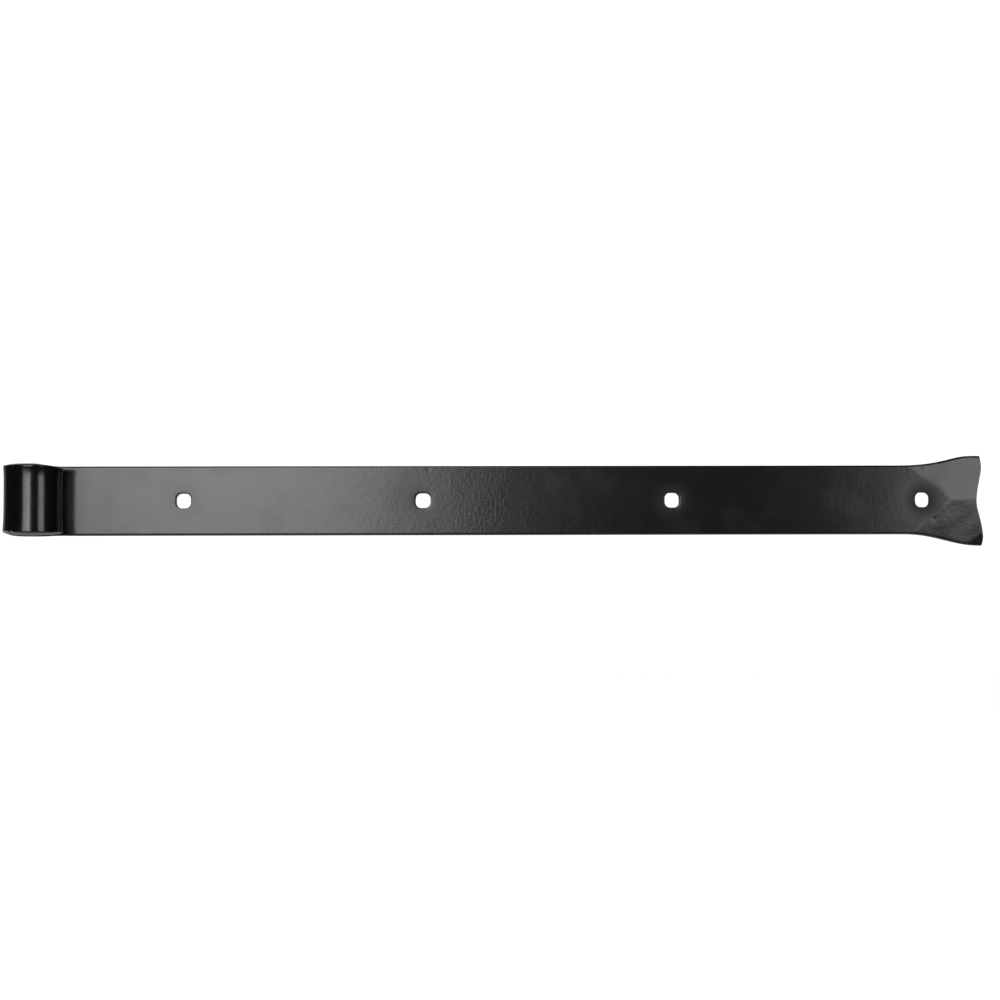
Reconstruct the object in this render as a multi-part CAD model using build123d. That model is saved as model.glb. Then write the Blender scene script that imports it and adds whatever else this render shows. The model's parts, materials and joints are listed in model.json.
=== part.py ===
"""Strap of a hook-and-band door hinge: one flat steel bar, rolled, punched and forged.

Millimetres. The origin is the centre of the eye's bore, halfway along it. The pin axis is Z.
The strap runs along +X. Its front face looks towards -Y and its back face, which lies on the
door, looks towards +Y. The bar's left end is rolled forwards into the eye, so the outside of
the eye is flush with the strap's back. The far end is spread into a fishtail by hammering.
"""

import math
import os

from build123d import *

# Flat bar
BAR_WIDTH = 35.0
BAR_THICKNESS = 5.0
EDGE_ROUND = 0.8

# Eye, rolled from the bar's own end round a 20 mm mandrel
BORE_RADIUS = 10.0
SEAM_GAP = 0.4
EYE_INNER_WIDTH = 36.0
EYE_OUTER_WIDTH = 33.2
BEND_RUN_OUT = 16.0

# Square holes for coach bolts, centred on the bar
HOLE_SIZE = 7.5
HOLE_CORNER_RADIUS = 2.8
HOLE_X = (73.7, 194.6, 320.8, 448.4)

# Fishtail: where the bar begins to spread, and its corners
FLARE_START = 436.5
TOP_CORNER = (478.0, 22.4)
BOTTOM_CORNER = (479.2, -23.4)

# Hammered facets on the tail's front: two that meet in a V, and one across the lower corner
FACET_TOP = (441.2, 17.5)
FACET_APEX = (463.4, 0.2)
FACET_BOTTOM = (442.5, -17.5)
FACET_TILT = 3.5
CORNER_FACET_LOW = (468.1, -22.8)
CORNER_FACET_HIGH = (479.1, -14.9)
CORNER_TILT = 7.5

# Worked out from the above
EYE_RADIUS = BORE_RADIUS + BAR_THICKNESS
FRONT_Y = BORE_RADIUS
BACK_Y = EYE_RADIUS
SEAM_ANGLE = math.degrees(math.asin((FRONT_Y - SEAM_GAP) / EYE_RADIUS))
ROLL_ANGLE = 270.0 + SEAM_ANGLE
BLOCK_SIZE = 200.0


def bar_section(x, front_width, back_width):
    """Rounded cross-section of the bar at X = x, wider in front where the bend squeezes it."""
    corners = Polyline(
        (FRONT_Y, front_width / 2),
        (BACK_Y, back_width / 2),
        (BACK_Y, -back_width / 2),
        (FRONT_Y, -front_width / 2),
        close=True,
    )
    flat = make_face(corners)
    rounded = fillet(flat.vertices(), EDGE_ROUND)
    return Plane(origin=(x, 0, 0), x_dir=(0, 1, 0), z_dir=(1, 0, 0)) * rounded


def make_eye():
    """The bar's end rolled round the pin axis until its tip almost meets the strap."""
    root_section = bar_section(0, EYE_INNER_WIDTH, EYE_OUTER_WIDTH)
    return revolve(root_section, axis=Axis.Z, revolution_arc=ROLL_ANGLE)


def make_run_out():
    """The stretch beside the eye, where the bent section eases back to the plain bar."""
    bent = bar_section(0, EYE_INNER_WIDTH, EYE_OUTER_WIDTH)
    plain = bar_section(BEND_RUN_OUT, BAR_WIDTH, BAR_WIDTH)
    return loft([bent.face(), plain.face()], ruled=True)


def tail_outline():
    """Outline of the strap in X and Z, from the run-out to the fishtail's hollow end."""
    half = BAR_WIDTH / 2
    top_start = (FLARE_START, half)
    bottom_start = (FLARE_START, -half)
    top_edge = Spline(
        [top_start, (448.5, 18.1), (460.5, 20.1), (470.0, 22.1), TOP_CORNER],
        tangents=[(1, 0), (1, 0)],
    )
    end_edge = Spline(
        [TOP_CORNER, (478.7, 17.5), (476.1, -0.2), (479.2, -16.0), (479.5, -20.5), BOTTOM_CORNER],
    )
    bottom_edge = Spline(
        [BOTTOM_CORNER, (472.5, -23.0), (460.5, -20.7), (448.5, -18.1), bottom_start],
        tangents=[(-1, 0), (-1, 0)],
    )
    return [
        Line((BEND_RUN_OUT, half), top_start),
        top_edge,
        end_edge,
        bottom_edge,
        Line(bottom_start, (BEND_RUN_OUT, -half)),
        Line((BEND_RUN_OUT, -half), (BEND_RUN_OUT, half)),
    ]


def make_bar():
    """The flat of the strap with its fishtail, its long edges rounded as rolled."""
    back_plane = Plane(origin=(0, BACK_Y, 0), x_dir=(1, 0, 0), z_dir=(0, -1, 0))
    blank = extrude(back_plane * make_face(tail_outline()), BAR_THICKNESS)
    long_edges = [
        edge
        for edge in blank.edges()
        if edge.length > BAR_WIDTH and abs(edge.center().Z) > BAR_WIDTH / 2 - 1
    ]
    return fillet(long_edges, EDGE_ROUND)


def facet_cutter(start, end, tilt, drop=0.0):
    """Block in front of a plane that holds the line from start to end, sunk by drop there.

    The plane leans by tilt degrees, so that it goes deeper into the bar towards the tail.
    """
    line_start = Vector(start[0], FRONT_Y + drop, start[1])
    line = (Vector(end[0], FRONT_Y + drop, end[1]) - line_start).normalized()
    outward = line.cross(Vector(0, 1, 0))
    if outward.X < 0:
        outward = outward * -1
    slope = math.radians(tilt)
    normal = Vector(0, -1, 0) * math.cos(slope) + outward * math.sin(slope)
    facet_plane = Plane(origin=line_start, x_dir=line, z_dir=normal)
    block = Box(BLOCK_SIZE, BLOCK_SIZE, BAR_WIDTH, align=(Align.CENTER, Align.CENTER, Align.MIN))
    return facet_plane * block


def hole_cutters():
    """Rounded square punches, through the bar."""
    punch_plane = Plane(origin=(0, BACK_Y + 1, 0), x_dir=(1, 0, 0), z_dir=(0, -1, 0))
    cutters = []
    for x in HOLE_X:
        square = Pos(x, 0) * RectangleRounded(HOLE_SIZE, HOLE_SIZE, HOLE_CORNER_RADIUS)
        cutters.append(extrude(punch_plane * square, BAR_THICKNESS + 2))
    return cutters


def corner_facet_drop():
    """How far the lower facet has already sunk where the corner facet begins."""
    along = Vector(FACET_BOTTOM[0] - FACET_APEX[0], FACET_BOTTOM[1] - FACET_APEX[1]).normalized()
    middle_x = (CORNER_FACET_LOW[0] + CORNER_FACET_HIGH[0]) / 2
    middle_z = (CORNER_FACET_LOW[1] + CORNER_FACET_HIGH[1]) / 2
    reach = Vector(middle_x - FACET_BOTTOM[0], middle_z - FACET_BOTTOM[1]).cross(along).length
    return reach * math.tan(math.radians(FACET_TILT))


def make_strap():
    """The whole strap as one solid."""
    bar = make_bar()
    bar -= facet_cutter(FACET_TOP, FACET_APEX, FACET_TILT)
    bar -= facet_cutter(FACET_BOTTOM, FACET_APEX, FACET_TILT)
    bar -= facet_cutter(CORNER_FACET_LOW, CORNER_FACET_HIGH, CORNER_TILT, corner_facet_drop())
    for cutter in hole_cutters():
        bar -= cutter
    return make_eye() + make_run_out() + bar


strap = make_strap()
strap.label = "strap"

os.makedirs("parts", exist_ok=True)
export_step(strap, "parts/strap.step")

box = strap.bounding_box()
print("solids", len(strap.solids()), "valid", strap.is_valid, "volume cm3", round(strap.volume / 1000, 2))
print("X", round(box.min.X, 2), round(box.max.X, 2))
print("Y", round(box.min.Y, 2), round(box.max.Y, 2))
print("Z", round(box.min.Z, 2), round(box.max.Z, 2))
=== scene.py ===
# %% [markdown]
# # A black strap for a hook-and-band door hinge
#
# The strap is one flat steel bar. Its left end is rolled into an eye, four square holes are
# punched through it, and its right end is hammered out into a fishtail. Then it is coated
# black. This lesson builds its visible surface as one closed mesh around the fixed model,
# and gives it a powder coat, a studio and a camera.

# %% Load the fixed model
import json
import math

import bmesh
import bpy
import numpy as np
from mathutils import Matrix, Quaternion, Vector


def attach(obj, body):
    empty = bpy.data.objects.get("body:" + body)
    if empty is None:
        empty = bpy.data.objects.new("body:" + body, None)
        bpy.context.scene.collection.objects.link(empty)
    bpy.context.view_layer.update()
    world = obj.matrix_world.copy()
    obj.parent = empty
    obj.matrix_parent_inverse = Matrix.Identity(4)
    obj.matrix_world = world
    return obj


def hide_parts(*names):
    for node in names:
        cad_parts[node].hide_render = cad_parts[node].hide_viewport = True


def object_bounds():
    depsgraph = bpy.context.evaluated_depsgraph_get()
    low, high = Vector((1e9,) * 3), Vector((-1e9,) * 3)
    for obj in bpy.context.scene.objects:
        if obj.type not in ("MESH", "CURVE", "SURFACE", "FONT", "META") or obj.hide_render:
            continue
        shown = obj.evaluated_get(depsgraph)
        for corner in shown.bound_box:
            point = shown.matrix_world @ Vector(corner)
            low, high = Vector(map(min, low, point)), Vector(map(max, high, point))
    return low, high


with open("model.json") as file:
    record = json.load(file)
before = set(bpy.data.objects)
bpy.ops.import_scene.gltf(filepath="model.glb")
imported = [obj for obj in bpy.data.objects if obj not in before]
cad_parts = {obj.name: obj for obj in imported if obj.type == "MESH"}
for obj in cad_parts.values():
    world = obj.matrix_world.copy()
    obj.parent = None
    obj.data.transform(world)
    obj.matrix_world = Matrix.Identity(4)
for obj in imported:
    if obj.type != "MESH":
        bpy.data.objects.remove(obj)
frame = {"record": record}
cad_low, cad_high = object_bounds()
print("fixed model from", tuple(cad_low), "to", tuple(cad_high))

# %% [markdown]
# ## Sizes
#
# The strap's sizes are in millimetres, and the studio's in metres. The eye, the bore, the bar's
# thickness, the tail's end and the hole places are read from the fixed model, so the surface
# can't drift away from it there. The bar's width, the hole size and the fishtail's outline
# follow the same model. The rest are the small things a smith leaves: rounded corners, the
# spread of the bend, and marks.

# %% Sizes read from the fixed model
M_TO_MM = 1000.0
MM_TO_M = 0.001

mounts = {mount["name"]: mount for mount in frame["record"]["mounts"]}
bore_radius = mounts["eye_bore"]["dims"]["r_mm"]
eye_radius = -cad_low.x * M_TO_MM
thickness = eye_radius - bore_radius
tail_end = cad_high.x * M_TO_MM
hole_x = [mounts[f"bolt_hole_{n}"]["pos_m"][0] * M_TO_MM for n in (1, 2, 3, 4)]
print("bore", bore_radius, "eye", eye_radius, "bar", thickness, "tail", tail_end, "holes", hole_x)

# %% Sizes of the bar, the roll and the holes
BAR_WIDTH = 35.0
CORNER_ROUND = 0.8
END_ROUND = 0.3
SEAM_GAP = 0.4
INNER_SPREAD = 0.60         # the bend pushes the eye's inner edge out by this at each end
OUTER_DRAW_TOP = 0.3        # and draws its outer edge in, a little at the top
OUTER_DRAW_BOTTOM = 1.0     # and more at the bottom
RUN_OUT = 16.0              # the bent section eases back to the plain bar over this length
HOLE_HALF = 3.75
HOLE_CORNER = 2.8
HOLE_RIM = 0.35

seam_angle = math.asin((bore_radius - SEAM_GAP) / eye_radius)
roll_angle = 1.5 * math.pi + seam_angle
middle_radius = bore_radius + thickness / 2
roll_length = roll_angle * middle_radius
print("the roll takes", round(roll_length, 1), "mm of bar")
print("and turns", round(math.degrees(roll_angle)), "degrees")

# %% Sizes of the fishtail
FLARE_START = 436.5
# Half widths above and below the middle line, at a few places along the strap
FLARE_X = np.array([436.5, 442.5, 448.5, 454.5, 460.5, 465.5, 470.0, 474.5, 479.5])
FLARE_TOP = np.array([17.5, 17.65, 18.1, 18.95, 20.15, 21.3, 22.1, 22.36, 22.36])
FLARE_BOTTOM = np.array([17.5, 17.6, 18.15, 19.25, 20.7, 21.85, 22.7, 23.2, 23.4])
# The hollow end: how far along it lies at a few heights
END_Z = np.array([-23.4, -20.5, -16.0, -8.0, -3.5, -0.2, 3.5, 10.0, 17.5, 22.4])
END_X = np.array([478.8, 479.45, 479.2, 477.5, 476.4, 476.1, 476.4, 477.6, 478.7, 478.0])
print("the fishtail is", round(FLARE_TOP[-1] + FLARE_BOTTOM[-1], 1), "mm wide at its end")

# %% [markdown]
# ## The grid of the bar
#
# A rolled and hammered bar is easiest to describe before it is bent: a long straight blank.
# So each point first gets three plain numbers: how far along the bar it lies, how high across
# it, and how deep below the front face. Zero along is where the roll begins, the roll is on
# the minus side and the strap on the plus side. The grid is one ring of points round the bar's
# section, repeated at many stations along it. A box with a bevel and a bend modifier could give
# the same bar, but then its small marks would be hard to place. Plain numbers keep them in reach.

# %% Stations along the bar
ROLL_STEPS = 240
PATCH_HALF = 7.5
PATCH_CELLS = 24
PLAIN_STEP = 1.9
TAIL_STEP = 0.5
ROUND_STEPS = 4


def evenly(start, stop, step):
    """Equal steps of about the given size from start up to, but not including, stop."""
    count = max(1, int(round((stop - start) / step)))
    return np.linspace(start, stop, count, endpoint=False)


round_turn = np.linspace(0.0, math.pi / 2, ROUND_STEPS + 1)
round_back = END_ROUND * (1.0 - np.sin(round_turn))
round_inset = END_ROUND * (1.0 - np.cos(round_turn))


def stations_along():
    """Distances along the bar, closer together round each hole and in the tail.

    The roll has equal turns, each hole has a square of equal cells, and the plain stretches
    between them have longer steps. The last few at each end follow a quarter circle.
    """
    runs = [round_back[::-1] - roll_length]
    runs.append(np.linspace(END_ROUND - roll_length, 0.0, ROLL_STEPS, endpoint=False)[1:])
    start = 0.0
    for x in hole_x:
        step = TAIL_STEP if start > FLARE_START else PLAIN_STEP
        runs.append(evenly(start, x - PATCH_HALF, step))
        runs.append(np.linspace(x - PATCH_HALF, x + PATCH_HALF, PATCH_CELLS, endpoint=False))
        start = x + PATCH_HALF
    runs.append(evenly(start, tail_end - END_ROUND, TAIL_STEP))
    runs.append(tail_end - round_back)
    return np.concatenate(runs)


stations = stations_along()
print(len(stations), "stations along the bar")

# %% Ring round the section
FACE_CELLS = 56
CORNER_CELLS = 4
EDGE_CELLS = 4


def section_ring():
    """The rounded section: depth, place across from -1 to 1, and corner offset.

    A point's height is its place across times the half width less the corner radius, plus
    its corner offset. The ring runs up the front, over the top edge, down the back and
    under the bottom edge.
    """
    across = np.linspace(-1.0, 1.0, FACE_CELLS + 1)
    turn = np.linspace(0.0, math.pi / 2, CORNER_CELLS + 1)[1:-1]
    edge = np.linspace(CORNER_ROUND, thickness - CORNER_ROUND, EDGE_CELLS + 1)
    rise = CORNER_ROUND * np.sin(turn)
    sink = CORNER_ROUND * (1.0 - np.cos(turn))
    full = np.full(EDGE_CELLS + 1, CORNER_ROUND)
    depth_up = np.concatenate([np.zeros(FACE_CELLS + 1), sink, edge, thickness - sink[::-1]])
    depth = np.concatenate([depth_up, thickness - depth_up])
    side_up = np.concatenate([across, np.ones(2 * len(turn) + len(edge))])
    offset_up = np.concatenate([np.zeros(FACE_CELLS + 1), rise, full, rise[::-1]])
    return depth, np.concatenate([side_up, -side_up]), np.concatenate([offset_up, -offset_up])


ring_depth, ring_side, ring_offset = section_ring()
print(len(ring_depth), "points round the section")

# %% [markdown]
# ## The outline
#
# The smith spreads the end with hammer blows, so it is no two times the same and has no simple
# formula. The half width is plain until the flare. There the edges follow a few measured
# widths, joined by a smooth curve. The last stations are drawn to the hollow end line, which
# is a shallow V with soft corners. A Bezier curve drawn by hand would also do, but the grid needs
# a width at every station, and a function gives that at once.

# %% Smooth curves through a few points


def smooth_curve(x, knots_x, knots_y):
    """A curve through the knots whose slope at each knot is worked out from its neighbours.

    Between knots it is the cubic that has those slopes at its two ends.
    """
    slopes = np.gradient(knots_y, knots_x)
    x = np.clip(x, knots_x[0], knots_x[-1])
    index = np.clip(np.searchsorted(knots_x, x) - 1, 0, len(knots_x) - 2)
    width = knots_x[index + 1] - knots_x[index]
    t = (x - knots_x[index]) / width
    start_value = knots_y[index] * (2 * t**3 - 3 * t**2 + 1)
    end_value = knots_y[index + 1] * (3 * t**2 - 2 * t**3)
    start_slope = slopes[index] * width * (t**3 - 2 * t**2 + t)
    end_slope = slopes[index + 1] * width * (t**3 - t**2)
    return start_value + end_value + start_slope + end_slope


def smooth_step(x, low, high):
    """0 below low, 1 above high, and an S-shaped rise between them."""
    t = np.clip((x - low) / (high - low), 0.0, 1.0)
    return t * t * (3.0 - 2.0 * t)


def half_width(along, upper):
    """Half the bar's width at a distance along it: plain, then flared."""
    top = smooth_curve(along, FLARE_X, FLARE_TOP)
    bottom = smooth_curve(along, FLARE_X, FLARE_BOTTOM)
    return np.where(along < FLARE_START, BAR_WIDTH / 2, np.where(upper, top, bottom))


print("half width at the last hole", round(float(half_width(hole_x[3], True)), 2), "mm")

# %% Lay out the blank
END_BLEND_START = 457.0

side = ring_side[None, :]
along = np.repeat(stations[:, None], len(ring_depth), axis=1)
reach = half_width(along, side > 0) - CORNER_ROUND
height = side * reach + ring_offset[None, :]
depth = np.repeat(ring_depth[None, :], len(stations), axis=0)

end_line = smooth_curve(height, END_Z, END_X)
inset = np.zeros(len(stations))
inset[: ROUND_STEPS + 1] = round_inset[::-1]
inset[-ROUND_STEPS - 1:] = round_inset
height = height * (1.0 - 2.0 * inset[:, None] / BAR_WIDTH)
depth = thickness / 2 + (depth - thickness / 2) * (1.0 - 2.0 * inset[:, None] / thickness)
drawn = np.clip((along - END_BLEND_START) / (tail_end - END_BLEND_START), 0.0, 1.0)
along = np.where(drawn > 0, END_BLEND_START + drawn * (end_line - END_BLEND_START), along)
print("blank grid", along.shape, "widest", round(float(height.max() - height.min()), 2), "mm")

# %% [markdown]
# ## The square holes
#
# A square punch goes through cold or hot bar and leaves a rounded square with a soft rim. A
# Boolean cut would be quicker, but it leaves long thin faces that shade badly on gloss. So the
# square of cells round each hole is taken out of the front and the back, and a funnel of rings
# is put in its place: from the square patch in to the rim, round the rim, down the wall, and out
# again at the back. The funnel starts on the very points of the grid, so the surface stays
# closed.

# %% Rounded square rim


def rounded_square_radius(angle, half, corner):
    """Distance from the centre to a rounded square in a given direction.

    It is the flat side where the direction meets one, and otherwise the far crossing with
    the corner's circle.
    """
    c = np.abs(np.cos(angle))
    s = np.abs(np.sin(angle))
    flat = half / np.maximum(c, s)
    centre = half - corner
    toward = centre * (c + s)
    circle = toward + np.sqrt(np.maximum(corner**2 - 2 * centre**2 + toward**2, 0.0))
    on_corner = flat * np.minimum(c, s) > centre
    return np.where(on_corner, circle, flat)


across_corners = 2 * float(rounded_square_radius(math.pi / 4, HOLE_HALF, HOLE_CORNER))
print("each hole is", round(across_corners, 2), "mm across its corners")

# %% One funnel of rings
FUNNEL_FACE = 8
FUNNEL_RIM = 4
FUNNEL_WALL = 5
FUNNEL_CROWDING = 0.8       # under 1, so that the rings stand closer near the hole


def funnel_profile():
    """Steps of the funnel: share of the way in, distance outside the wall, and depth.

    The first part goes in along the front face, the second is a quarter circle at the rim,
    the third runs down the wall, and the last two mirror them at the back.
    """
    inward = np.linspace(0.0, 1.0, FUNNEL_FACE + 1) ** FUNNEL_CROWDING
    turn = np.linspace(0.0, math.pi / 2, FUNNEL_RIM + 1)[1:]
    over = HOLE_RIM * (1.0 - np.sin(turn))
    sink = HOLE_RIM * (1.0 - np.cos(turn))
    wall = np.linspace(HOLE_RIM, thickness - HOLE_RIM, FUNNEL_WALL + 1)[1:-1]
    blend = np.concatenate([inward, np.ones(2 * len(turn) + len(wall)), inward[::-1]])
    rim = np.concatenate([
        np.full(len(inward), HOLE_RIM), over, np.zeros(len(wall)), over[::-1],
        np.full(len(inward), HOLE_RIM),
    ])
    down = np.concatenate([
        np.zeros(len(inward)), sink, wall, thickness - sink[::-1],
        np.full(len(inward), thickness),
    ])
    return blend, rim, down


def patch_border(first_row, first_column, cells):
    """Grid indices round a square patch, anticlockwise seen from the front."""
    steps = np.arange(cells)
    low = np.zeros(cells, dtype=int)
    top = np.full(cells, cells)
    rows = first_row + np.concatenate([steps, top, cells - steps, low])
    columns = first_column + np.concatenate([low, steps, top, cells - steps])
    return rows, columns


def funnel(first_row, first_column, centre_x):
    """Rings from the front patch's border, through the hole, to the back patch's border.

    Each ring is the border drawn towards the hole's rounded square by its blend. Halfway
    down it changes from the front border to the back one, which lies straight behind.
    """
    rows, columns = patch_border(first_row, first_column, PATCH_CELLS)
    border_x = along[rows, columns]
    border_z = height[rows, columns]
    angle = np.arctan2(border_z, border_x - centre_x)
    blend, rim, down = funnel_profile()
    radius = rounded_square_radius(angle[None, :], HOLE_HALF + rim[:, None], HOLE_CORNER + rim[:, None])
    inner_x = centre_x + radius * np.cos(angle)
    inner_z = radius * np.sin(angle)
    ring_x = border_x + blend[:, None] * (inner_x - border_x)
    ring_z = border_z + blend[:, None] * (inner_z - border_z)
    ring_d = np.repeat(down[:, None], len(angle), axis=1)
    return ring_x, ring_z, ring_d


print(len(funnel_profile()[0]), "rings in each funnel")

# %% [markdown]
# ## From blank to finished bar
#
# The same three steps shape every point, whether it lies on the grid or in a funnel. The
# hammer thins the front of the tail in flat facets. The punch draws the face in a little round
# each hole. The roll winds the left end round the pin axis, and as it bends, the bar grows
# wider on the inside and narrower on the outside, with its outer corners curling out. Deform
# modifiers could bend the bar, but not with this uneven swelling, so each step is a formula.

# %% Hammered facets
FACET_TOP = np.array([441.2, 17.5])
FACET_APEX = np.array([463.4, 0.2])
FACET_BOTTOM = np.array([442.5, -17.5])
FACET_SLOPE = math.tan(math.radians(3.5))
CORNER_LOW = np.array([468.1, -22.8])
CORNER_HIGH = np.array([479.1, -14.9])
CORNER_SLOPE = math.tan(math.radians(7.5))
SHOULDER_DROP = 0.10        # the lower facet starts with a steeper shoulder
SHOULDER_LENGTH = 6.0
CREASE = 0.05


def past_line(x, z, start, end):
    """Signed distance past the line from start to end, counted towards the tail."""
    line = (end - start) / np.linalg.norm(end - start)
    outward = np.array([line[1], -line[0]])
    if outward[0] < 0:
        outward = -outward
    return (x - start[0]) * outward[0] + (z - start[1]) * outward[1]


def soft_max(a, b, width):
    """The larger of two surfaces, with the corner between them rounded over the width."""
    h = np.clip(0.5 + 0.5 * (a - b) / width, 0.0, 1.0)
    return b + (a - b) * h + width * h * (1.0 - h)


def facet_sink(x, z):
    """How far the hammered facets lie below the bar's front face."""
    upper = FACET_SLOPE * past_line(x, z, FACET_TOP, FACET_APEX)
    past_lower = past_line(x, z, FACET_BOTTOM, FACET_APEX)
    shoulder = SHOULDER_DROP * (1.0 - np.exp(-np.maximum(past_lower, 0.0) / SHOULDER_LENGTH))
    lower = FACET_SLOPE * past_lower + shoulder
    corner_x, corner_z = (CORNER_LOW + CORNER_HIGH) / 2
    corner_start = FACET_SLOPE * past_line(corner_x, corner_z, FACET_BOTTOM, FACET_APEX)
    corner = corner_start + CORNER_SLOPE * past_line(x, z, CORNER_LOW, CORNER_HIGH)
    sunk = soft_max(soft_max(upper, lower, CREASE), corner, CREASE)
    return np.where(x > FLARE_START, soft_max(sunk, np.zeros_like(sunk), CREASE), 0.0)


print("the tail's end is hammered down by", round(float(facet_sink(tail_end, 0.0)), 2), "mm")

# %% Dishing round the holes, small marks, and the unevenness of the bar
DISH_DEPTHS = (0.02, 0.03, 0.04, 0.18)          # wide hollow, one for each hole
ROLL_OVER_DEPTHS = (0.01, 0.04, 0.05, 0.30)     # and the rim drawn in close to it
ROLL_OVER_REACH = 0.8
DISH_REACH = 3.2
FACE_SINK = 0.02            # the face lies this much lower, so its waves hardly pass the model's
FAR_AWAY = 1000.0
MOTTLE = {"depth": 0.010, "along": 9.3, "across": 11.0, "shift": 0.4, "sway": 0.8, "sway_across": 7.1}
SLANTS = [
    {"depth": 0.012, "along": 23.0, "across": 15.0, "shift": 1.3},
    {"depth": 0.003, "along": 4.1, "across": -5.3, "shift": 0.0},
]
HAMMER = {"depth": 0.022, "along": 2.9, "across": 3.3}     # a patch is about three times these
HAMMER_COLUMNS = {"sway": 1.1, "over": 3.7}
HAMMER_ROWS = {"sway": 0.7, "over": 4.3}
HAMMER_FROM = 8.0           # past the flare's start, the marks fade in between these
HAMMER_FULL = 20.0
DENTS = [
    {"x": 454.0, "z": -9.7, "reach": 0.8, "depth": 0.12},
    {"x": 197.4, "z": 15.7, "reach": 0.9, "depth": 0.04},
    {"x": 447.5, "z": 16.6, "reach": 0.9, "depth": 0.08},
]
ROOT_DIP = 0.72             # the hollow where the strap runs into the eye
ROOT_CENTRE = 13.8
ROOT_WIDTH = 6.2


def hole_distance(x, z):
    """Distance outside the nearest hole's rounded square, roughly, in mm."""
    nearest = np.full(np.shape(x), FAR_AWAY)
    for centre in hole_x:
        wall = rounded_square_radius(np.arctan2(z, x - centre), HOLE_HALF, HOLE_CORNER)
        nearest = np.minimum(nearest, np.hypot(x - centre, z) - wall)
    return nearest


def unevenness(x, z):
    """Long, very low waves that hot-rolled bar has, in mm: a mottle and two slanting ripples."""
    sway = MOTTLE["sway"] * np.sin(z / MOTTLE["sway_across"])
    columns = np.sin(x / MOTTLE["along"] + sway)
    waves = MOTTLE["depth"] * columns * np.cos(z / MOTTLE["across"] + MOTTLE["shift"])
    for slant in SLANTS:
        waves = waves + slant["depth"] * np.sin(x / slant["along"] + z / slant["across"] + slant["shift"])
    return waves


def hammer_marks(x, z):
    """Shallow uneven patches that the hammer leaves on the fishtail, in mm."""
    column_sway = HAMMER_COLUMNS["sway"] * np.sin(z / HAMMER_COLUMNS["over"])
    row_sway = HAMMER_ROWS["sway"] * np.sin(x / HAMMER_ROWS["over"])
    columns = np.sin(x / HAMMER["along"] + column_sway)
    rows = np.cos(z / HAMMER["across"] + row_sway)
    fade_in = smooth_step(x, FLARE_START + HAMMER_FROM, FLARE_START + HAMMER_FULL)
    return HAMMER["depth"] * columns * rows * fade_in


def dents(x, z):
    """Small round dents: each is a bell-shaped hollow."""
    hollow = np.zeros(np.shape(x))
    for dent in DENTS:
        away = np.hypot(x - dent["x"], z - dent["z"])
        hollow = hollow + dent["depth"] * np.exp(-((away / dent["reach"]) ** 2))
    return hollow


def front_sink(x, z):
    """Everything that lowers the front face: facets, dishing, dents, hammer marks and waves."""
    from_hole = np.maximum(hole_distance(x, z), 0.0)
    dish = np.interp(x, hole_x, DISH_DEPTHS) * np.exp(-from_hole / DISH_REACH)
    dish = dish + np.interp(x, hole_x, ROLL_OVER_DEPTHS) * np.exp(-from_hole / ROLL_OVER_REACH)
    root = ROOT_DIP * np.exp(-((x - ROOT_CENTRE) / ROOT_WIDTH) ** 2)
    root = root * smooth_step(x, 0.0, RUN_OUT / 2)
    marks = dents(x, z) + hammer_marks(x, z)
    return facet_sink(x, z) + dish + root + FACE_SINK + marks + unevenness(x, z)


print("deepest dish and roll-over at a hole", max(DISH_DEPTHS) + max(ROLL_OVER_DEPTHS), "mm")

# %% The roll
FLAT_SPOT_ANGLE = math.radians(192.0)
FLAT_SPOT_WIDTH = math.radians(12.0)
FLAT_SPOT_DEPTH = 0.05
CURL_TOP = 0.48
CURL_TOP_NEAR_TIP = 0.95
CURL_TIP_START = math.radians(172.0)
CURL_TIP_END = math.radians(200.0)
CURL_TOP_POWER = 6.0
CURL_BOTTOM = 0.60
CURL_BOTTOM_POWER = 2.5
OUT_OF_ROUND = 0.20
OUT_OF_ROUND_ANGLE = math.radians(90.0)
OUT_OF_ROUND_WIDTH = math.radians(45.0)
TIP_DROP = 0.8
TIP_DROP_START = math.radians(195.0)
TIP_DROP_END = math.radians(262.0)
LEFT_LIFT = 0.65
LEFT_LIFT_ANGLE = math.radians(115.0)
LEFT_LIFT_WIDTH = math.radians(45.0)
NICK_DEPTH = 0.5
NICK_ANGLE = math.radians(145.0)
NICK_WIDTH = math.radians(3.2)
NICK_FROM = 14.2
NICK_FULL = 16.2
SPREAD_FADE_START = math.radians(190.0)
SPREAD_FADE_END = math.radians(235.0)
EASE_IN_TURN = 0.6          # radians of turn in which the eye's own unevenness begins


def bend_amount(x):
    """1 round the roll, easing to 0 along the strap beside it."""
    return 1.0 - smooth_step(x, 0.0, RUN_OUT)


def spread(x, z, d):
    """Height after the bend has widened the inside and narrowed the outside.

    The spread fades towards the tip of the roll, where the bar was also cut a little short
    at the top. A third of the way round, the lower edge is drawn up a little.
    """
    share = d / thickness
    turn = np.maximum(-x, 0.0) / middle_radius
    inner = INNER_SPREAD * (1.0 - smooth_step(turn, SPREAD_FADE_START, SPREAD_FADE_END))
    outer = np.where(z > 0, OUTER_DRAW_TOP, OUTER_DRAW_BOTTOM)
    drop = TIP_DROP * smooth_step(turn, TIP_DROP_START, TIP_DROP_END)
    lift = LEFT_LIFT * np.exp(-((turn - LEFT_LIFT_ANGLE) / LEFT_LIFT_WIDTH) ** 2)
    change = inner * (1.0 - share) - outer * share - np.where(z > 0, drop, lift)
    return z * (1.0 + bend_amount(x) * change / (BAR_WIDTH / 2))


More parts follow.
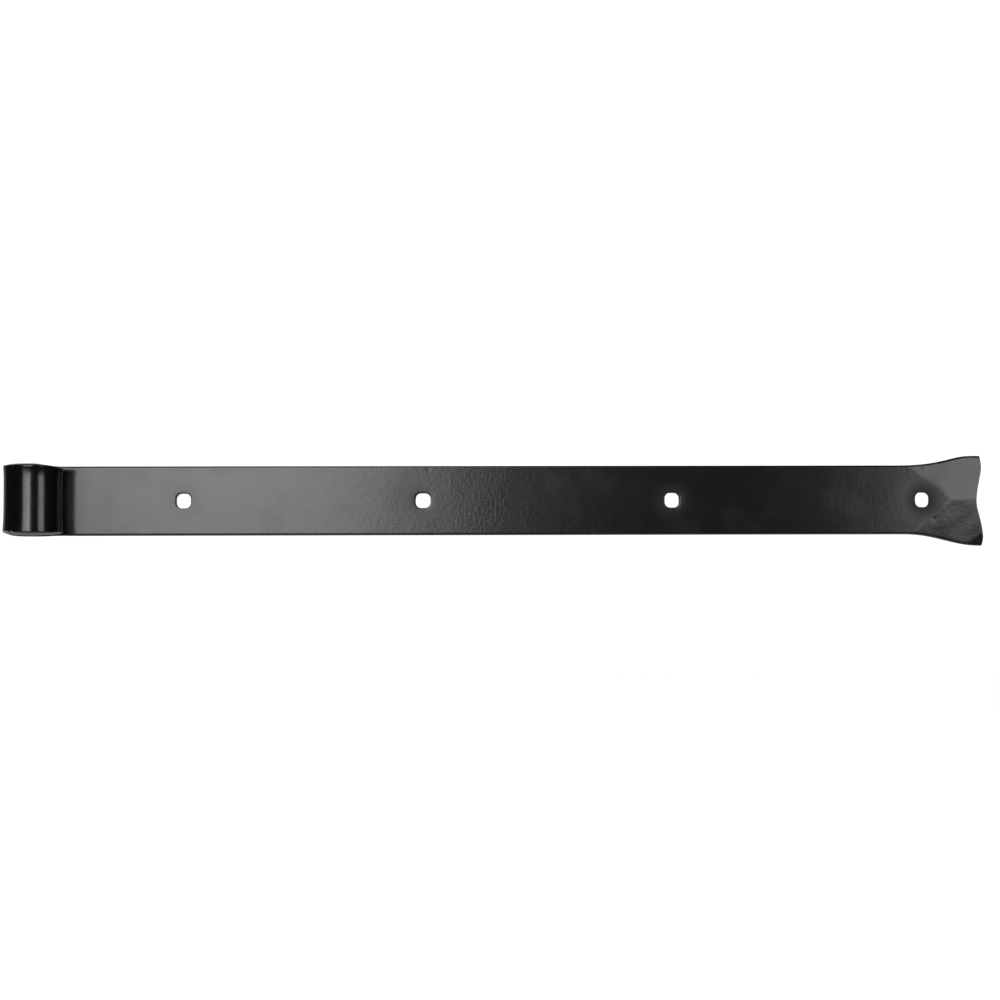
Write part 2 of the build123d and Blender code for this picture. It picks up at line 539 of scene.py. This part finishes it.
def roll_up(x, z, d):
    """Winds the blank's minus side round the pin axis.

    The turn is the distance along divided by the bar's middle radius, and a point's radius is
    the bore's plus its depth. The plus side stays straight, behind the axis. The outside is
    lowest halfway along the eye and curls out towards its ends, by a power of the height. It
    also has a flat spot, a wide stretch that is out of round, and a nick in both edges.
    """
    turn = np.maximum(-x, 0.0) / middle_radius
    edge = np.abs(z) / (BAR_WIDTH / 2)
    near_tip = smooth_step(turn, CURL_TIP_START, CURL_TIP_END)
    curl_top = (CURL_TOP + (CURL_TOP_NEAR_TIP - CURL_TOP) * near_tip) * edge**CURL_TOP_POWER
    curl = np.where(z > 0, curl_top, CURL_BOTTOM * edge**CURL_BOTTOM_POWER)
    nick = NICK_DEPTH * np.exp(-((turn - NICK_ANGLE) / NICK_WIDTH) ** 2)
    nick = nick * smooth_step(np.abs(z), NICK_FROM, NICK_FULL)
    flat_spot = FLAT_SPOT_DEPTH * np.exp(-((turn - FLAT_SPOT_ANGLE) / FLAT_SPOT_WIDTH) ** 2)
    from_middle = (turn - OUT_OF_ROUND_ANGLE) / OUT_OF_ROUND_WIDTH
    hollow = flat_spot + OUT_OF_ROUND * np.exp(-(from_middle**2))
    swell = smooth_step(turn, 0.0, EASE_IN_TURN) * (curl - CURL_BOTTOM - hollow - nick)
    radius = bore_radius + d + swell * d / thickness
    rolled_x = -radius * np.sin(turn)
    rolled_y = radius * np.cos(turn)
    return np.where(x < 0, rolled_x, x), np.where(x < 0, rolled_y, bore_radius + d)


def shape(x, z, d):
    """Blank coordinates to finished coordinates: facets, dishing, bend, roll."""
    sink = front_sink(x, z)
    d = thickness - (thickness - d) * (thickness - sink) / thickness
    z = spread(x, z, d)
    out_x, out_y = roll_up(x, z, d)
    return np.stack([out_x, out_y, z], axis=-1)


tip_x, tip_y = roll_up(-roll_length, 0.0, 0.0)
print("the inside of the roll's tip is at", round(float(tip_x), 1), round(float(tip_y), 1), "mm")

# %% [markdown]
# ## One closed mesh
#
# The strap is one piece of steel, so it is one mesh. The grid without its patches, the four
# funnels and a cap at each end of the bar are joined. Points that fall on each other are merged,
# so the result is one closed skin. Separate objects would look the same from afar, but a closed
# skin has no seams to catch the light.

# %% Faces of a grid


def grid_faces(rows, columns, offset, closed):
    """Corner numbers of every cell of a grid, whose columns close on themselves if asked."""
    numbers = offset + np.arange(rows * columns).reshape(rows, columns)
    if closed:
        numbers = np.concatenate([numbers, numbers[:, :1]], axis=1)
    a = numbers[:-1, :-1]
    b = numbers[1:, :-1]
    c = numbers[1:, 1:]
    d = numbers[:-1, 1:]
    return np.stack([a, b, c, d], axis=-1)


def cap_faces(row_numbers):
    """Closes an end: a strip from the front points to the back ones, and one face per edge."""
    points = len(row_numbers)
    half = points // 2
    front = row_numbers[: FACE_CELLS + 1]
    back = row_numbers[half: half + FACE_CELLS + 1][::-1]
    strip = np.stack([front[:-1], front[1:], back[1:], back[:-1]], axis=-1)
    top = row_numbers[FACE_CELLS: half + 1]
    bottom = np.concatenate([row_numbers[half + FACE_CELLS:], row_numbers[:1]])
    return strip, top, bottom


print("a grid of 3 by 4 points has", len(grid_faces(3, 4, 0, closed=False).reshape(-1, 4)), "cells")

# %% Join grid, funnels and caps
FRONT_PATCH = (FACE_CELLS - PATCH_CELLS) // 2
MERGE_DISTANCE = 1e-6


def build_skin():
    """Points and faces of the whole strap, before touching points are merged."""
    station_count, ring_count = along.shape
    back_patch = ring_count // 2 + FRONT_PATCH
    quads = grid_faces(station_count, ring_count, 0, closed=True)
    keep = np.ones(quads.shape[:2], dtype=bool)
    points = [shape(along, height, depth).reshape(-1, 3)]
    offset = along.size
    funnels = []
    for centre in hole_x:
        row = int(np.argmin(np.abs(stations - (centre - PATCH_HALF))))
        keep[row: row + PATCH_CELLS, FRONT_PATCH: FRONT_PATCH + PATCH_CELLS] = False
        keep[row: row + PATCH_CELLS, back_patch: back_patch + PATCH_CELLS] = False
        ring_x, ring_z, ring_d = funnel(row, FRONT_PATCH, centre)
        points.append(shape(ring_x, ring_z, ring_d).reshape(-1, 3))
        funnels.append(grid_faces(*ring_x.shape, offset, closed=True).reshape(-1, 4)[:, ::-1])
        offset += ring_x.size
    first_row = np.arange(ring_count)
    last_row = first_row + (station_count - 1) * ring_count
    faces = quads[keep].tolist()
    for funnel_quads in funnels:
        faces += funnel_quads.tolist()
    for row_numbers, flip in ((first_row, 1), (last_row, -1)):
        strip, top, bottom = cap_faces(row_numbers)
        faces += strip[:, ::flip].tolist()
        faces += [top[::flip].tolist(), bottom[::flip].tolist()]
    return np.concatenate(points), faces


def closed_mesh(name, points, faces):
    """A Blender mesh in metres from points in millimetres, merged, smooth and facing outwards."""
    mesh = bpy.data.meshes.new(name)
    mesh.from_pydata((points * MM_TO_M).tolist(), [], faces)
    work = bmesh.new()
    work.from_mesh(mesh)
    bmesh.ops.remove_doubles(work, verts=work.verts, dist=MERGE_DISTANCE)
    bmesh.ops.recalc_face_normals(work, faces=work.faces)
    open_edges = sum(1 for edge in work.edges if not edge.is_manifold)
    work.to_mesh(mesh)
    work.free()
    mesh.shade_smooth()
    print(name, len(mesh.vertices), "points,", len(mesh.polygons), "faces,", open_edges, "open edges")
    return mesh


strap_mesh = closed_mesh("coated_strap", *build_skin())
coated_strap = bpy.data.objects.new("coated_strap", strap_mesh)
bpy.context.collection.objects.link(coated_strap)

# %% [markdown]
# Smooth shading alone would tip the broad faces a little towards their rounded corners. The
# Weighted Normal modifier lets the broad faces decide, so they stay flat to the eye.

# %% Keep the broad faces flat, and let the piece stand for the model's strap
BROAD_FACE_WEIGHT = 60

weighted = coated_strap.modifiers.new("broad_faces_lead", "WEIGHTED_NORMAL")
weighted.weight = BROAD_FACE_WEIGHT
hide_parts("strap")
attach(coated_strap, "root")

# %% [markdown]
# ## Stains and handling marks, kept on the surface
#
# Powder clings badly where oil or scale is left round a punched hole, so the coat can be thin
# and blue-black there. Here it is so at the hole in the tail. Hands leave dull, brownish marks. A
# painted image could hold these, but each has a simple place and reach. So their strength is
# worked out here and stored on the mesh's points, where the material can read it.

# %% Store thin coat and handling marks
THIN_COAT = (0.05, 0.10, 0.12, 1.0)
THIN_REACH = 4.6
HANDLING_MARKS = [
    {"x": 183.0, "z": 6.0, "half_long": 5.0, "half_high": 8.0, "strength": 0.9},
    {"x": 92.0, "z": 14.8, "half_long": 9.0, "half_high": 1.3, "strength": 0.8},
    {"x": 35.0, "z": 0.0, "half_long": 4.5, "half_high": 8.0, "strength": 0.6},
    {"x": 460.0, "z": 15.0, "half_long": 3.0, "half_high": 4.0, "strength": 0.5},
]
place = np.empty(len(strap_mesh.vertices) * 3)
strap_mesh.vertices.foreach_get("co", place)
place_x, _, place_z = place.reshape(-1, 3).T * M_TO_MM
thin_coat = np.zeros(len(place_x))
for centre, strength in zip(hole_x, THIN_COAT):
    from_rim = np.maximum(np.hypot(place_x - centre, place_z) - HOLE_HALF, 0.0)
    thin_coat = np.maximum(thin_coat, strength * np.exp(-((from_rim / THIN_REACH) ** 2)))
handling = np.zeros(len(place_x))
for mark in HANDLING_MARKS:
    across_x = (place_x - mark["x"]) / mark["half_long"]
    across_z = (place_z - mark["z"]) / mark["half_high"]
    handling = np.maximum(handling, mark["strength"] * np.exp(-(across_x**2 + across_z**2)))
for name, values in (("thin_coat", thin_coat), ("handling", handling)):
    attribute = strap_mesh.attributes.new(name, "FLOAT", "POINT")
    attribute.data.foreach_set("value", values.astype(np.float32))
    print(name, "stored, strongest", round(float(values.max()), 2))

# %% [markdown]
# ## Black powder coat
#
# Powder coat is a polyester or epoxy dust, charged so that it clings to the steel, and baked
# until it flows together. It is a plastic skin, so it is no metal: its gloss is plain and has
# no tint. It never flows out quite flat, which gives it orange peel, low bumps a millimetre
# or two apart, and finer grit between them. This one is semi-gloss: wide lights have soft
# edges in it. Handling leaves faint smears that are duller than the rest. One Principled shader
# does all of this, and noise in the object's own millimetres keeps every bump its real size,
# which an image texture would not.

# %% Small helpers for materials
COAT_BLACK = "#030303"


def srgb(hex_value):
    """An sRGB hex colour as linear values with full alpha."""
    channels = np.array([int(hex_value[i:i + 2], 16) for i in (1, 3, 5)]) / 255.0
    linear = np.where(channels <= 0.04045, channels / 12.92, ((channels + 0.055) / 1.055) ** 2.4)
    return (*[float(value) for value in linear], 1.0)


def feed(tree, socket, value):
    """Links an input to another node's socket, or sets it to a plain value."""
    if isinstance(value, bpy.types.NodeSocket):
        tree.links.new(value, socket)
    else:
        socket.default_value = value


def add_node(tree, kind, settings=None, inputs=None):
    """Adds a node, sets its settings, and feeds each input a value or a socket."""
    node = tree.nodes.new(kind)
    for name, value in (settings or {}).items():
        setattr(node, name, value)
    for name, value in (inputs or {}).items():
        feed(tree, node.inputs[name], value)
    return node


def combine(tree, operation, first, second):
    """One sum on two values, each a number or a socket."""
    node = add_node(tree, "ShaderNodeMath", {"operation": operation})
    feed(tree, node.inputs[0], first)
    feed(tree, node.inputs[1], second)
    return node.outputs["Value"]


def rise(tree, value, begin, full):
    """Rises softly from 0 where a value is at begin, to 1 where it is at full."""
    node = add_node(tree, "ShaderNodeMapRange", {"interpolation_type": "SMOOTHSTEP"}, {
        "Value": value, "From Min": begin, "From Max": full,
    })
    return node.outputs["Result"]


def per_metre(size_mm):
    """Noise scale that gives features of the size: Object coordinates are in metres."""
    return M_TO_MM / size_mm


print("the coat's black as linear values", [round(value, 4) for value in srgb(COAT_BLACK)[:3]])

# %% Marks on the coat
SMEAR_SIZE = 22.0
SMEAR_DISTORTION = 0.6
SMEAR_LIMITS = (0.52, 0.70)     # noise below the first shows nothing, above the second all
PATCH_SIZE = 9.9
PATCH_LIMITS = (0.50, 0.72)
SPECK_SIZE = 1.1
SPECK_LIMITS = (0.74, 0.80)
NOISE_ROUGHNESS = 0.55


def noise(tree, where, size_mm, detail, roughness=NOISE_ROUGHNESS, distortion=0.0):
    """Noise of a real size on the object's own place."""
    node = add_node(tree, "ShaderNodeTexNoise", {"noise_dimensions": "3D"}, {
        "Vector": where, "Scale": per_metre(size_mm), "Detail": detail,
        "Roughness": roughness, "Distortion": distortion,
    })
    return node.outputs["Fac"]


def coat_marks(tree, where):
    """Strengths from 0 to 1 of everything that marks the coat."""
    smear = noise(tree, where, SMEAR_SIZE, 3.0, distortion=SMEAR_DISTORTION)
    marks = {
        "smear": rise(tree, smear, *SMEAR_LIMITS),
        "patch": rise(tree, noise(tree, where, PATCH_SIZE, 2.0), *PATCH_LIMITS),
        "speck": rise(tree, noise(tree, where, SPECK_SIZE, 1.0), *SPECK_LIMITS),
    }
    for name in ("thin_coat", "handling"):
        marks[name] = add_node(tree, "ShaderNodeAttribute", {"attribute_name": name}).outputs["Fac"]
    return marks


print("smears of about", SMEAR_SIZE, "mm, patches of", PATCH_SIZE, "mm and specks of", SPECK_SIZE, "mm")

# %% Colour and roughness of the coat
COAT_DUSTY = "#0f0e0c"
THIN_BLUE = "#08121a"
HAND_BROWN = "#15110e"
SMEAR_DUST = 0.20
SPECK_DUST = 0.5
BASE_ROUGHNESS = 0.19
ROUGHER_BY = {"smear": 0.02, "patch": 0.01, "speck": 0.05, "thin_coat": 0.55, "handling": 0.05}


def tint(tree, amount, under, over):
    """Lays a colour over another by the amount."""
    node = add_node(tree, "ShaderNodeMix", {"data_type": "RGBA"})
    feed(tree, node.inputs[0], amount)
    feed(tree, node.inputs[6], under)
    feed(tree, node.inputs[7], over)
    return node.outputs[2]


def coat_colour(tree, marks):
    """Near-black, greyer with dust, brownish where handled and bluish where thin."""
    smear_dust = combine(tree, "MULTIPLY", marks["smear"], SMEAR_DUST)
    speck_dust = combine(tree, "MULTIPLY", marks["speck"], SPECK_DUST)
    dust = combine(tree, "MAXIMUM", smear_dust, speck_dust)
    colour = tint(tree, dust, srgb(COAT_BLACK), srgb(COAT_DUSTY))
    colour = tint(tree, marks["handling"], colour, srgb(HAND_BROWN))
    return tint(tree, marks["thin_coat"], colour, srgb(THIN_BLUE))


def coat_roughness(tree, marks):
    """Semi-gloss, and duller by what each mark adds at its strongest."""
    rough = BASE_ROUGHNESS
    for name, amount in ROUGHER_BY.items():
        rough = combine(tree, "ADD", rough, combine(tree, "MULTIPLY", marks[name], amount))
    return rough


print("roughness from", BASE_ROUGHNESS, "up to", BASE_ROUGHNESS + ROUGHER_BY["thin_coat"], "at the last hole")

# %% [markdown]
# Orange peel is only hundredths of a millimetre high, so cutting it into the mesh would take
# millions of faces. A bump map bends the light as if the bumps were there, and costs nothing.
# Past the second hole the strap also has fine upright marks, so their noise is stretched
# upwards and shown on that stretch only.

# %% Relief of the coat
PEEL_SIZE = 1.8
GRIT_SIZE = 0.45
GRIT_SHARE = 0.22               # against the orange peel's 1
STREAK_SHARE = 0.95
STREAK_WIDTH = 1.1
STREAK_STRETCH = 0.35           # under 1 draws the streaks out, about three times as tall as wide
STREAK_ROUGHNESS = 0.5
STREAKS_BEGIN = (0.203, 0.212)  # metres along the strap: none here, full there
STREAKS_END = (0.246, 0.234)
BUMP_DEPTH = 0.00002


def upright_streaks(tree, where):
    """Fine upright marks on one stretch of the strap."""
    upright = add_node(tree, "ShaderNodeMapping", {}, {
        "Vector": where, "Scale": (1.0, 1.0, STREAK_STRETCH),
    }).outputs["Vector"]
    streak = noise(tree, upright, STREAK_WIDTH, 2.0, roughness=STREAK_ROUGHNESS)
    along_bar = add_node(tree, "ShaderNodeSeparateXYZ", {}, {"Vector": where}).outputs["X"]
    begun = rise(tree, along_bar, *STREAKS_BEGIN)
    not_ended = rise(tree, along_bar, *STREAKS_END)
    return combine(tree, "MULTIPLY", streak, combine(tree, "MULTIPLY", begun, not_ended))


def coat_relief(tree, where):
    """Normals bent by orange peel, grit and the upright marks."""
    grit = combine(tree, "MULTIPLY", noise(tree, where, GRIT_SIZE, 2.0), GRIT_SHARE)
    relief = combine(tree, "ADD", noise(tree, where, PEEL_SIZE, 1.0), grit)
    streaks = combine(tree, "MULTIPLY", upright_streaks(tree, where), STREAK_SHARE)
    bump = add_node(tree, "ShaderNodeBump", {}, {
        "Height": combine(tree, "ADD", relief, streaks), "Strength": 1.0, "Distance": BUMP_DEPTH,
    })
    return bump.outputs["Normal"]


print("orange peel up to", BUMP_DEPTH * M_TO_MM, "mm deep")

# %% The coat
COAT_IOR = 1.5


def make_powder_coat():
    """Black polyester powder coat: near-black, semi-gloss, with orange peel, grit and smears."""
    material = bpy.data.materials.new("black_powder_coat_baked_polyester")
    material.use_nodes = True
    tree = material.node_tree
    tree.nodes.clear()
    where = add_node(tree, "ShaderNodeTexCoord").outputs["Object"]
    marks = coat_marks(tree, where)
    shader = add_node(tree, "ShaderNodeBsdfPrincipled", {}, {
        "Base Color": coat_colour(tree, marks), "Roughness": coat_roughness(tree, marks),
        "Normal": coat_relief(tree, where), "IOR": COAT_IOR, "Metallic": 0.0,
    })
    add_node(tree, "ShaderNodeOutputMaterial", {}, {"Surface": shader.outputs["BSDF"]})
    return material


powder_coat = make_powder_coat()
strap_mesh.materials.append(powder_coat)
print("coat with", len(powder_coat.node_tree.nodes), "nodes")

# %% [markdown]
# ## Studio
#
# The floor is a plain pale sheet well below the hanging strap. A black coat shows what it
# reflects and hardly anything else, so the lights are shaped for their reflections. A tall soft
# box in two parts stands in front on the left, and a low, nearer one on the right, with a dark
# gap between them. The gap is what gives the flat black face its long fade, and the eye its two
# upright lights.

# %% Floor
FLOOR_DROP = 0.32
FLOOR_HALF = 6.0
FLOOR_CELLS = 8
PAPER_WHITE = "#fefefd"
PAPER_ROUGHNESS = 0.9


def make_floor():
    """A flat square sheet of paper on a small grid, below the strap."""
    line = np.linspace(-FLOOR_HALF, FLOOR_HALF, FLOOR_CELLS + 1)
    x, y = np.meshgrid(line, line, indexing="ij")
    points = np.stack([x, y, np.full_like(x, cad_low.z - FLOOR_DROP)], axis=-1).reshape(-1, 3)
    faces = grid_faces(FLOOR_CELLS + 1, FLOOR_CELLS + 1, 0, closed=False).reshape(-1, 4)
    mesh = bpy.data.meshes.new("paper_floor")
    mesh.from_pydata(points.tolist(), [], faces.tolist())
    floor = bpy.data.objects.new("paper_floor", mesh)
    bpy.context.collection.objects.link(floor)
    paper = bpy.data.materials.new("white_studio_paper_matt")
    paper.use_nodes = True
    sheen = paper.node_tree.nodes["Principled BSDF"]
    sheen.inputs["Base Color"].default_value = srgb(PAPER_WHITE)
    sheen.inputs["Roughness"].default_value = PAPER_ROUGHNESS
    mesh.materials.append(paper)
    floor.visible_glossy = False
    return floor


make_floor()
print("paper floor", 2 * FLOOR_HALF, "m square,", FLOOR_DROP, "m below the strap")

# %% Soft boxes
WARM_WHITE = (1.0, 0.985, 0.95)
SOFT_BOXES = {
    "left_soft_box": {"x_range": (-0.52, 0.108), "low": -0.14, "high": 1.9, "y": -3.43, "radiance": 6.9},
    "left_soft_box_wing": {
        "x_range": (-1.70, -0.52), "low": -0.14, "high": 1.9, "y": -3.43, "radiance": 4.75,
    },
    "right_soft_box": {"x_range": (0.70, 1.51), "low": -0.075, "high": 0.30, "y": -1.10, "radiance": 4.05},
}


def soft_box(name, x_range, low, high, y, radiance):
    """An upright area light facing the strap, given by its sides, and by its radiance.

    A light's power in watts is its radiance times its area times pi.
    """
    light = bpy.data.lights.new(name, "AREA")
    light.shape = "RECTANGLE"
    light.size = x_range[1] - x_range[0]
    light.size_y = high - low
    light.energy = radiance * light.size * light.size_y * math.pi
    light.color = WARM_WHITE
    lamp = bpy.data.objects.new(name, light)
    lamp.location = ((x_range[0] + x_range[1]) / 2, y, (low + high) / 2)
    lamp.rotation_euler = (math.radians(90.0), 0.0, 0.0)
    lamp.visible_camera = False
    bpy.context.collection.objects.link(lamp)
    print(name, "has", round(light.energy, 1), "W")


for box_name, box_sides in SOFT_BOXES.items():
    soft_box(box_name, **box_sides)

# %% [markdown]
# Round the soft boxes the room is white to the camera and to matt things. A real studio would
# need white walls, black cloths and cards for this. Here the world's light does their work: it
# tells gloss rays from the rest, and gloss sees a dark room with a few soft pale parts behind the
# strap and a pale floor. They were placed so that edges and rounded faces shine where
# they should.

# %% Room
ROOM_DARK = 0.03
ROOM_WHITE = 1.06
# What gloss sees: how bright each part is, and on which axes of the ray's direction it begins
# and is full. A part shows only where it has risen on all of its axes.
ROOM_PARTS = {
    "sheet": {"bright": 0.5, "seen": {"Y": (0.30, 0.60), "Z": (-0.10, -0.40)}},
    "left wall": {"bright": 0.35, "seen": {"Y": (0.45, 0.70), "X": (-0.26, -0.36)}},
    "right wall": {"bright": 0.30, "seen": {"Y": (0.60, 0.80), "X": (0.06, 0.12)}},
    "above behind": {"bright": 0.5, "seen": {"Y": (0.30, 0.50), "Z": (0.08, 0.25)}},
    "left behind": {
        "bright": 1.3, "seen": {"X": (-0.30, -0.50), "Y": (0.20, 0.40), "Z": (-0.10, -0.25)},
    },
    "right behind": {
        "bright": 1.3, "seen": {"X": (0.30, 0.50), "Y": (0.20, 0.40), "Z": (-0.10, -0.25)},
    },
    "floor": {"bright": 0.9, "seen": {"Z": (-0.22, -0.80)}},
}


def make_room():
    """World light: white, except that gloss sees a dark room with the pale parts listed above."""
    world = bpy.data.worlds.new("studio_room")
    bpy.context.scene.world = world
    world.use_nodes = True
    tree = world.node_tree
    tree.nodes.clear()
    direction = add_node(tree, "ShaderNodeTexCoord").outputs["Generated"]
    axes = add_node(tree, "ShaderNodeSeparateXYZ", {}, {"Vector": direction}).outputs
    gloss = ROOM_DARK
    for part in ROOM_PARTS.values():
        light = part["bright"]
        for axis, (begin, full) in part["seen"].items():
            light = combine(tree, "MULTIPLY", light, rise(tree, axes[axis], begin, full))
        gloss = combine(tree, "MAXIMUM", gloss, light)
    rays = add_node(tree, "ShaderNodeLightPath")
    level = add_node(tree, "ShaderNodeMix", {"data_type": "FLOAT"})
    feed(tree, level.inputs[0], rays.outputs["Is Glossy Ray"])
    feed(tree, level.inputs[2], ROOM_WHITE)
    feed(tree, level.inputs[3], gloss)
    sky = add_node(tree, "ShaderNodeBackground", {}, {
        "Color": (1.0, 1.0, 1.0, 1.0), "Strength": level.outputs[0],
    })
    add_node(tree, "ShaderNodeOutputWorld", {}, {"Surface": sky.outputs["Background"]})
    print("room with", len(ROOM_PARTS), "pale parts in gloss:", ", ".join(ROOM_PARTS))


make_room()
# Standard leaves the white ground white
bpy.context.scene.view_settings.view_transform = "Standard"

# %% [markdown]
# ## Camera
#
# The camera stands a little over a metre away, almost square to the strap but a touch below it
# and a little to the left of its middle, so the undersides of the eye's ends just show. A longer
# lens from further off would hide them, and a shorter one from nearby would show more.

# %% Camera
CAMERA_AWAY = 1.071
CAMERA_X = 0.2115
CAMERA_Z = -0.041
CAMERA_ROLL = math.radians(-0.14)
LOOK_AT = Vector((0.2335, 0.010, 0.0002))
LENS = 76.25
SENSOR_WIDTH = 36.0

camera_data = bpy.data.cameras.new("camera")
camera_data.lens = LENS
camera_data.sensor_width = SENSOR_WIDTH
camera = bpy.data.objects.new("camera", camera_data)
camera.location = (CAMERA_X, bore_radius * MM_TO_M - CAMERA_AWAY, CAMERA_Z)
aim = (LOOK_AT - camera.location).to_track_quat("-Z", "Y")
roll = Quaternion((0.0, 0.0, 1.0), CAMERA_ROLL)
camera.rotation_euler = (aim @ roll).to_euler()
bpy.context.collection.objects.link(camera)
bpy.context.scene.camera = camera
print("camera at", tuple(round(value, 3) for value in camera.location))
